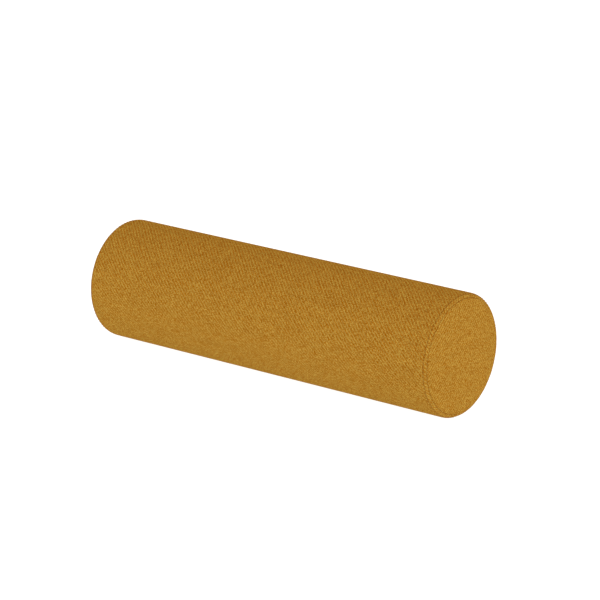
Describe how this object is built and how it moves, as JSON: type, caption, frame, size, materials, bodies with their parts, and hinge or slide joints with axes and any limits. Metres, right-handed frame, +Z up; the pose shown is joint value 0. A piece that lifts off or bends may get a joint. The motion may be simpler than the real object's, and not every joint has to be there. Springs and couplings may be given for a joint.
{
  "type": "bolster pillow",
  "caption": "Firm round bolster pillow in a woven cover with nearly flat ends, twin-stitched rim seams and a back zip.",
  "frame": {"origin": "middle of the underside, on the surface the pillow lies on", "axes": "+X along the pillow towards the end that faces the camera in the picture, +Y towards the back where the zip is, +Z up"},
  "size_m": [0.7, 0.2, 0.198],
  "materials": {
    "mustard_weave": "matte",
    "mustard_thread": "matte",
    "foam": "matte",
    "wadding": "matte",
    "liner_cloth": "matte",
    "zip_tape_cloth": "matte",
    "zip_nylon": "satin",
    "zip_metal": "satin",
    "label_cloth": "matte"
  },
  "bodies": {
    "pillow": {"foam_core": "foam", "batting_wrap": "wadding", "batting_end_left": "wadding", "batting_end_right": "wadding", "liner_tube": "liner_cloth", "liner_end_left": "liner_cloth", "liner_end_right": "liner_cloth", "cover_tube": "mustard_weave", "cover_end_left": "mustard_weave", "cover_end_right": "mustard_weave", "topstitch_left": "mustard_thread", "topstitch_right": "mustard_thread", "seam_stitch_left": "mustard_thread", "seam_stitch_right": "mustard_thread", "zip_tape_upper": "zip_tape_cloth", "zip_tape_lower": "zip_tape_cloth", "zip_row_upper": "zip_nylon", "zip_row_lower": "zip_nylon", "zip_top_stop_upper": "zip_metal", "zip_top_stop_lower": "zip_metal", "zip_bottom_stop": "zip_metal", "zip_stitch_upper": "mustard_thread", "zip_stitch_lower": "mustard_thread", "zip_bartack_left": "mustard_thread", "zip_bartack_right": "mustard_thread", "care_label": "label_cloth"},
    "slider": {"zip_slider": "zip_metal"},
    "pull": {"zip_pull": "zip_metal"}
  },
  "joints": [
    {"name": "zip_slide", "type": "slide", "parent": "pillow", "child": "slider", "axis": [1, 0, 0], "range_m": [0, 0.485]},
    {"name": "pull_turn", "type": "hinge", "parent": "slider", "child": "pull", "pos_m": [-0.2413, 0.09816, 0.1243], "axis": [0, 0.2588, -0.9659], "range_deg": [0, 175]}
  ]
}
